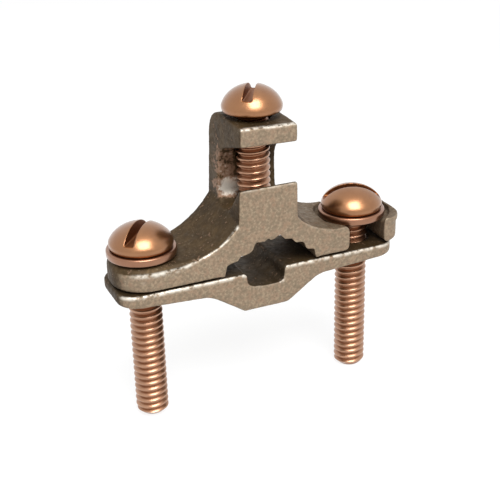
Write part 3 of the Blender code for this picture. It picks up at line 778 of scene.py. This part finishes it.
def painted_glint_patches(places):
    """How strong the painted glint, partly wear, is on the lug's back wall."""
    glint = np.zeros(len(places))
    for centre, stretch, strength in GLINTS:
        away = np.linalg.norm((places - np.array(centre)) / np.array(stretch), axis=1)
        glint = np.maximum(glint, strength * (1.0 - ramp(away, 0.45 * MM, 1.2 * MM)))
    return glint


def painted_pocket_shade(obj, places, outside):
    """Painted shade in the hollows and inside the rod's opening between the outer faces."""
    between = ramp(-np.abs(places[:, 0] - 1.0 * MM), -10.0 * MM, -9.0 * MM) * (1.0 - outside)
    between *= (places[:, 2] > -3.4 * MM) * (places[:, 2] < 7.0 * MM)
    return np.maximum(0.25 * between, ramp(-convexity(obj, 16), 0.06 * MM, 0.26 * MM))


def mark_casting(obj, lug):
    """Store the dark skin with painted shade, the painted edge highlights, glints and pocket shade for the
    material.
    """
    places, normals, edges = mesh_arrays(obj)
    facing = smoothed(normals, edges, 3)
    outside = outer_faces(places)
    rolled_ear = ramp(-places[:, 0], 13.0 * MM, 17.0 * MM) * lug
    highlighted = painted_edge_highlight(places, facing, outside, rolled_ear, lug)
    store(obj, "skin", skin_and_painted_shade(places, facing, outside, rolled_ear, lug))
    store(obj, "glint", painted_glint_patches(places) * lug)
    # Painted highlight along the front edges
    store(obj, "edge", smoothed(highlighted[:, None], edges, 1)[:, 0])
    store(obj, "pocket_shade", painted_pocket_shade(obj, places, outside))
    shade_smooth(obj, 50)


def hand_over(obj, body, node, material):
    """Give a finished piece its material, its body and the node it stands for."""
    obj.data.materials.clear()
    obj.data.materials.append(material)
    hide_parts(node)
    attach(obj, body)


class CLAMP_OT_upper_casting(bpy.types.Operator):
    """Model the upper casting with its wire lug, its serrated jaw and the rim of the right seat"""

    bl_idname = "clamp.upper_casting"
    bl_label = "Upper Casting"

    def execute(self, context):
        settings = context.scene.clamp_castings
        jaw = casting_copy("upper_jaw", "upper_casting")
        pick(jaw, seat_rim(), jaw_plug())
        bpy.ops.object.join()
        cast_surface(jaw, settings)
        cut(jaw, serration())
        mark_casting(jaw, lug=True)
        hand_over(jaw, "upper", "upper_jaw", cast_bronze("upper_cast_bronze", settings))
        return {"FINISHED"}


class CLAMP_OT_lower_casting(bpy.types.Operator):
    """Model the lower casting with its belly and the notch that the rod lies in"""

    bl_idname = "clamp.lower_casting"
    bl_label = "Lower Casting"

    def execute(self, context):
        settings = context.scene.clamp_castings
        jaw = casting_copy("lower_jaw", "lower_casting")
        pick(jaw, notch_fillet(), notch_slope())
        bpy.ops.object.join()
        cast_surface(jaw, settings)
        mark_casting(jaw, lug=False)
        hand_over(jaw, "lower", "lower_jaw", cast_bronze("lower_cast_bronze", settings))
        return {"FINISHED"}


# Screws and washers

def thread_profile(settings):
    """One pitch of the thread as (radius, z), from root to root with a soft crest."""
    crest = settings.crest_radius
    root = crest - settings.thread_depth
    shape = [(0.0, 0.0), (0.07, 0.0), (0.15, 0.2), (0.3, 0.74), (0.4, 0.94), (0.5, 1.0), (0.6, 0.94),
             (0.7, 0.74), (0.85, 0.2), (0.93, 0.0), (1.0, 0.0)]
    return [(root + (crest - root) * rise, settings.pitch * along) for along, rise in shape]


def threaded_rod(name, settings, length):
    """A right-hand thread below z 0, cut flat at both ends, with a chamfered tip."""
    rod = drawn_line(name, thread_profile(settings))
    turns = math.ceil(length / settings.pitch) + 3
    apply_modifier(
        rod, "SCREW", axis="Z", angle=math.tau, screw_offset=settings.pitch, iterations=turns,
        steps=settings.steps, render_steps=settings.steps, use_merge_vertices=True,
        merge_threshold=0.001 * MM, use_normal_calculate=True)
    edit_all(rod)
    bpy.ops.mesh.remove_doubles(threshold=0.002 * MM)
    bpy.ops.transform.translate(value=(0, 0, -length - 1.5 * settings.pitch))
    for place, facing in ((-length, -1), (0.0, 1)):
        bpy.ops.mesh.select_all(action="SELECT")
        bpy.ops.mesh.bisect(
            plane_co=(0, 0, place), plane_no=(0, 0, facing), use_fill=True, clear_outer=True,
            threshold=0.0001 * MM)
    bpy.ops.mesh.select_all(action="SELECT")
    bpy.ops.mesh.normals_make_consistent(inside=False)
    leave_edit()
    crest = settings.crest_radius + 0.05 * MM
    chamfer = 0.95 * MM
    tip = turned(name + "_tip_tool", [
        (0, 1 * MM), (crest, 1 * MM), (crest, -length + chamfer), (crest - chamfer, -length),
        (0, -length)], settings.steps)
    cut(rod, tip, "INTERSECT")
    return rod


def head_profile(settings, radius, rise, drop):
    """The head as (radius, z), from the crown's middle over its rim to the seat at -drop."""
    rim, tuck = 0.85 * MM, 0.32 * MM
    crown_steps, rim_steps = 28, 6
    cap = rise - rim
    sphere = (radius ** 2 + cap ** 2) / (2 * cap)
    profile = []
    for step in range(crown_steps + 1):
        out = radius * math.sin(math.pi / 2 * step / crown_steps)
        crown = math.sqrt(sphere ** 2 - out ** 2) - sphere + cap
        oval = cap * math.sqrt(max(0.0, 1 - (out / radius) ** 2))
        profile.append((out, rim + (1 - settings.fullness) * crown + settings.fullness * oval))
    for step in range(1, rim_steps + 1):
        bend = math.pi / 2 * step / rim_steps
        profile.append((radius - tuck * (1 - math.cos(bend)), rim - (rim + drop) * math.sin(bend)))
    profile.append((0.0, -drop))
    return profile


def round_head(name, settings, radius, rise, slot_depth, drop):
    """A round head on z -drop with a crowned top, a tucked-in seat and a driver slot along X."""
    head = turned(name, head_profile(settings, radius, rise, drop), 96)
    half, bottom = settings.slot_width / 2, rise - slot_depth
    tool = block(name + "_slot_tool", (-REACH, -half, bottom), (REACH, half, rise + 2 * MM))
    bevel_edges(tool, lambda at, along: abs(along.x) > 0.9 and at.z < bottom + 0.01 * MM, 0.18 * MM, 3)
    cut(head, tool)
    apply_modifier(head, "REMESH", mode="VOXEL", voxel_size=0.11 * MM, use_smooth_shade=True)
    apply_modifier(head, "SMOOTH", factor=0.5, iterations=5)
    return head


def mark_screw(obj, settings, rise, slot_depth):
    """Mark tarnish and painted shade where a screw is sunk: thread roots, the driver slot and the underside
    of the head.
    """
    places, _, edges = mesh_arrays(obj)
    across, height = np.abs(places[:, 1]), places[:, 2]
    radius = np.hypot(places[:, 0], places[:, 1])
    root = settings.crest_radius - settings.thread_depth
    in_thread = height < -0.02 * MM
    in_slot = (across < settings.slot_width / 2 + 0.02 * MM) & (height > rise - slot_depth - 0.1 * MM)
    shadowed_under_head = in_thread & (height > -1.4 * MM)
    sunk_tarnish_and_shade = 0.55 * (1.0 - ramp(radius, root, settings.crest_radius - 0.12 * MM)) * in_thread
    sunk_tarnish_and_shade = np.where(~in_thread & in_slot, 0.85, sunk_tarnish_and_shade)
    sunk_tarnish_and_shade = np.where(~in_thread & (height < 0.3 * MM), 0.7, sunk_tarnish_and_shade)
    # Painted shadow on the threads just under the head
    sunk_tarnish_and_shade = np.where(shadowed_under_head, 1.7, sunk_tarnish_and_shade)
    store(obj, "sunk_tarnish_and_shade", smoothed(sunk_tarnish_and_shade[:, None], edges, 1)[:, 0])
    store(obj, "thread", in_thread.astype(float))


def screw(name, settings, length, radius, rise, slot_depth, drop):
    """A whole round-head screw with its seat on z 0 and its axis on Z."""
    obj = round_head(name, settings, radius, rise, slot_depth, drop)
    rod = threaded_rod(name + "_rod", settings, length)
    edit_chosen(rod, "FACE", lambda face: face.center.z > -0.001 * MM and face.normal.z > 0.9)
    bpy.ops.transform.translate(value=(0, 0, 0.4 * MM))
    leave_edit()
    cut(obj, rod, "UNION")
    tidy_mesh(obj)
    mark_screw(obj, settings, rise, slot_depth)
    shade_smooth(obj, 48)
    return obj


def placed(obj, x, z, turn):
    """A copy of a piece with its own mesh, turned about its axis and put in its place."""
    pick(obj)
    bpy.ops.object.duplicate(linked=False)
    copy = bpy.context.object
    copy.location = (x, 0, z)
    copy.rotation_euler = (0, 0, math.radians(turn))
    settle(copy)
    return copy


class CLAMP_OT_clamp_screws(bpy.types.Operator):
    """Model the long clamp screw once and put it on both sides"""

    bl_idname = "clamp.clamp_screws"
    bl_label = "Clamp Screws"

    def execute(self, context):
        settings = context.scene.clamp_screws
        pattern = screw("clamp_screw_pattern", settings, **CLAMP_SCREW)
        for side, axis, turn in (("left", LEFT_AXIS, 48.0), ("right", RIGHT_AXIS, -23.0)):
            node = side + "_clamp_screw"
            obj = placed(pattern, axis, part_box(node)[0].z + CLAMP_SCREW["length"], turn)
            obj.name = side + "_threaded_screw"
            hand_over(obj, side + "_screw_body", node,
                      plated_copper(node + "_copper", settings, settings.copper, SCREW_ROUGHNESS))
        bpy.data.objects.remove(pattern, do_unlink=True)
        return {"FINISHED"}


class CLAMP_OT_wire_screw(bpy.types.Operator):
    """Model the shorter screw that presses the wire into the groove"""

    bl_idname = "clamp.wire_screw"
    bl_label = "Wire Screw"

    def execute(self, context):
        settings = context.scene.clamp_screws
        pattern = screw("wire_screw_pattern", settings, **WIRE_SCREW)
        obj = placed(pattern, WIRE_AXIS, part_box("wire_screw")[0].z + WIRE_SCREW["length"], 55.0)
        obj.name = "threaded_wire_screw"
        hand_over(obj, "wire_screw_body", "wire_screw",
                  plated_copper("wire_screw_copper", settings, settings.copper, SCREW_ROUGHNESS))
        bpy.data.objects.remove(pattern, do_unlink=True)
        return {"FINISHED"}


class CLAMP_OT_washers(bpy.types.Operator):
    """Model the flat washer once and put it under both heads"""

    bl_idname = "clamp.washers"
    bl_label = "Washers"

    def execute(self, context):
        settings = context.scene.clamp_screws
        thick, inner, outer = 1.45 * MM, 3.6 * MM, 6.45 * MM
        outer_rounding, inner_rounding = 0.38 * MM, 0.15 * MM
        near = 0.1 * MM
        pattern = turned("washer_pattern", [
            (inner, thick), (outer, thick), (outer, 0), (inner, 0), (inner, thick)], 128)
        bevel_edges(
            pattern, lambda at, along: math.hypot(at.x, at.y) > outer - near and abs(along.z) < 0.5,
            outer_rounding, 4)
        bevel_edges(
            pattern, lambda at, along: math.hypot(at.x, at.y) < inner + near and abs(along.z) < 0.5,
            inner_rounding, 2)
        for mark in ("sunk_tarnish_and_shade", "thread"):
            store(pattern, mark, np.zeros(len(pattern.data.vertices)))
        for side, axis, turn in (("left", LEFT_AXIS, 20.0), ("right", RIGHT_AXIS, 75.0)):
            node = side + "_washer"
            obj = placed(pattern, axis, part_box(node)[0].z, turn)
            obj.name = side + "_round_washer"
            shade_smooth(obj, 40)
            hand_over(obj, side + "_washer_body", node,
                      plated_copper(node + "_copper", settings, settings.washer_copper, WASHER_ROUGHNESS))
        bpy.data.objects.remove(pattern, do_unlink=True)
        return {"FINISHED"}


# Stage

def seen_or_lit(tree, seen, lit):
    """Show one shader to the camera, reflections and glass, and light the clamp with another."""
    path = tree.nodes.new("ShaderNodeLightPath")
    direct = path.outputs["Is Camera Ray"]
    for kind in ("Is Glossy Ray", "Is Transmission Ray"):
        either = tree.nodes.new("ShaderNodeMath")
        either.operation = "MAXIMUM"
        tree.links.new(direct, either.inputs[0])
        tree.links.new(path.outputs[kind], either.inputs[1])
        direct = either.outputs["Value"]
    mixer = tree.nodes.new("ShaderNodeMixShader")
    tree.links.new(direct, mixer.inputs["Fac"])
    tree.links.new(lit, mixer.inputs[1])
    tree.links.new(seen, mixer.inputs[2])
    return mixer.outputs["Shader"]


def white_room(settings):
    """The soft light of the room, brighter towards the front, which is seen and reflected as white."""
    world = bpy.data.worlds.new("white_room")
    world.use_nodes = True
    bpy.context.scene.world = world
    tree = world.node_tree
    lit = tree.nodes["Background"]
    lit.inputs["Color"].default_value = (1.0, 1.0, 1.0, 1.0)
    direction = tree.nodes.new("ShaderNodeTexCoord").outputs["Generated"]
    ahead = tree.nodes.new("ShaderNodeVectorMath")
    ahead.operation = "DOT_PRODUCT"
    ahead.inputs[1].default_value = ROOM_FRONT
    tree.links.new(direction, ahead.inputs[0])
    level = tree.nodes.new("ShaderNodeMapRange")
    level.interpolation_type = "SMOOTHSTEP"
    levels = [settings.room * factor for factor in ROOM_LEVELS]
    for socket, number in zip(("From Min", "From Max", "To Min", "To Max"), (*ROOM_SPREAD, *levels)):
        level.inputs[socket].default_value = number
    tree.links.new(ahead.outputs["Value"], level.inputs["Value"])
    tree.links.new(level.outputs["Result"], lit.inputs["Strength"])
    white = tree.nodes.new("ShaderNodeBackground")
    white.inputs["Color"].default_value = (1.0, 1.0, 1.0, 1.0)
    tree.links.new(
        seen_or_lit(tree, white.outputs["Background"], lit.outputs["Background"]),
        tree.nodes["World Output"].inputs["Surface"])


def pale_floor(settings):
    """A wide floor just under the screw tips, which keeps the clamp's soft shadow."""
    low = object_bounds()[0].z - settings.floor_gap
    deselect_all()
    bpy.ops.mesh.primitive_circle_add(vertices=64, radius=6.0, fill_type="NGON", location=(0, 0, low))
    floor = bpy.context.object
    floor.name = "floor"
    material = bpy.data.materials.new("pale_floor")
    material.use_nodes = True
    tree = material.node_tree
    plain = tree.nodes["Principled BSDF"]
    plain.inputs["Base Color"].default_value = (*settings.floor_colour, 1.0)
    plain.inputs["Roughness"].default_value = 0.9
    glow = tree.nodes.new("ShaderNodeEmission")
    glow.inputs["Color"].default_value = (1.0, 1.0, 1.0, 1.0)
    glow.inputs["Strength"].default_value = FLOOR_GLOW
    soft = tree.nodes.new("ShaderNodeBsdfDiffuse")
    soft.inputs["Color"].default_value = (FLOOR_GREY, FLOOR_GREY, FLOOR_GREY, 1.0)
    both = tree.nodes.new("ShaderNodeAddShader")
    tree.links.new(glow.outputs["Emission"], both.inputs[0])
    tree.links.new(soft.outputs["BSDF"], both.inputs[1])
    tree.links.new(
        seen_or_lit(tree, both.outputs["Shader"], plain.outputs["BSDF"]),
        tree.nodes["Material Output"].inputs["Surface"])
    floor.data.materials.append(material)
    floor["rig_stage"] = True


def soft_box(settings):
    """The square soft box above the front, which looks at the clamp."""
    toward = KEY_TOWARD.normalized()
    data = bpy.data.lights.new("front_soft_box", "AREA")
    data.shape = "RECTANGLE"
    data.size = KEY_SIZE
    data.size_y = KEY_SIZE
    data.energy = settings.key_power
    place = KEY_AIM + toward * KEY_DISTANCE
    lamp = bpy.data.objects.new("front_soft_box", data)
    lamp.location = place
    lamp.rotation_euler = (KEY_AIM - place).to_track_quat("-Z", "Y").to_euler()
    bpy.context.scene.collection.objects.link(lamp)


def photo_camera():
    """The camera of the photograph, from the fit of the clamp's own points."""
    azimuth, elevation, roll = (math.radians(angle) for angle in CAMERA_ANGLES)
    back = Vector((
        -math.sin(azimuth) * math.cos(elevation), -math.cos(azimuth) * math.cos(elevation),
        math.sin(elevation)))
    right = Vector((math.cos(azimuth), -math.sin(azimuth), 0.0))
    up = back.cross(right)
    place = (back * CAMERA_PLACE[0] + right * CAMERA_PLACE[1] + up * CAMERA_PLACE[2]) * MM
    across = right * math.cos(roll) - up * math.sin(roll)
    upward = right * math.sin(roll) + up * math.cos(roll)
    data = bpy.data.cameras.new("photo_camera")
    data.lens = CAMERA_LENS
    data.sensor_width = 36.0
    data.clip_start = 0.01
    data.clip_end = 20.0
    camera = bpy.data.objects.new("photo_camera", data)
    bpy.context.scene.collection.objects.link(camera)
    turn = Matrix((across, upward, back)).transposed().to_4x4()
    camera.matrix_world = Matrix.Translation(place) @ turn
    bpy.context.scene.camera = camera


class CLAMP_OT_stage(bpy.types.Operator):
    """Set up the pale floor, the soft studio light and the camera"""

    bl_idname = "clamp.stage"
    bl_label = "Stage"

    def execute(self, context):
        settings = context.scene.clamp_stage
        context.scene.view_settings.view_transform = "Standard"
        white_room(settings)
        pale_floor(settings)
        soft_box(settings)
        photo_camera()
        return {"FINISHED"}


class CLAMP_PT_panel(bpy.types.Panel):
    """The clamp's operators and settings"""

    bl_idname = "CLAMP_PT_panel"
    bl_label = "Ground Clamp"
    bl_space_type = "VIEW_3D"
    bl_region_type = "UI"
    bl_category = "Ground Clamp"

    def draw(self, context):
        for title, settings, names in (
                ("Castings", context.scene.clamp_castings,
                 ("grain", "relief", "edge_relief", "face_colour", "skin_and_shade_colour", "edge_highlight_colour")),
                ("Screws and Washers", context.scene.clamp_screws,
                 ("pitch", "crest_radius", "thread_depth", "fullness", "slot_width", "steps", "copper",
                  "thread_copper", "tarnish_and_shade", "washer_copper")),
                ("Stage", context.scene.clamp_stage, ("floor_gap", "floor_colour", "key_power", "room"))):
            box = self.layout.box()
            box.label(text=title)
            for name in names:
                box.prop(settings, name)
        for operator in OPERATORS:
            self.layout.operator(operator.bl_idname)


OPERATORS = (
    CLAMP_OT_upper_casting,
    CLAMP_OT_lower_casting,
    CLAMP_OT_washers,
    CLAMP_OT_clamp_screws,
    CLAMP_OT_wire_screw,
    CLAMP_OT_stage,
)
SETTINGS = {
    "clamp_castings": CastingSettings,
    "clamp_screws": ScrewSettings,
    "clamp_stage": StageSettings,
}


def register():
    """Register the classes and put the settings on the scene."""
    for cls in (*SETTINGS.values(), *OPERATORS, CLAMP_PT_panel):
        bpy.utils.register_class(cls)
    for name, cls in SETTINGS.items():
        setattr(bpy.types.Scene, name, PointerProperty(type=cls))


def unregister():
    """Take the settings off the scene and unregister the classes."""
    for name in SETTINGS:
        delattr(bpy.types.Scene, name)
    for cls in reversed((*SETTINGS.values(), *OPERATORS, CLAMP_PT_panel)):
        bpy.utils.unregister_class(cls)


def main():
    """Model every piece and the stage."""
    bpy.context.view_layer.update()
    register()
    bpy.ops.clamp.upper_casting()
    bpy.ops.clamp.lower_casting()
    bpy.ops.clamp.washers()
    bpy.ops.clamp.clamp_screws()
    bpy.ops.clamp.wire_screw()
    bpy.ops.clamp.stage()


if __name__ == "__main__":
    main()
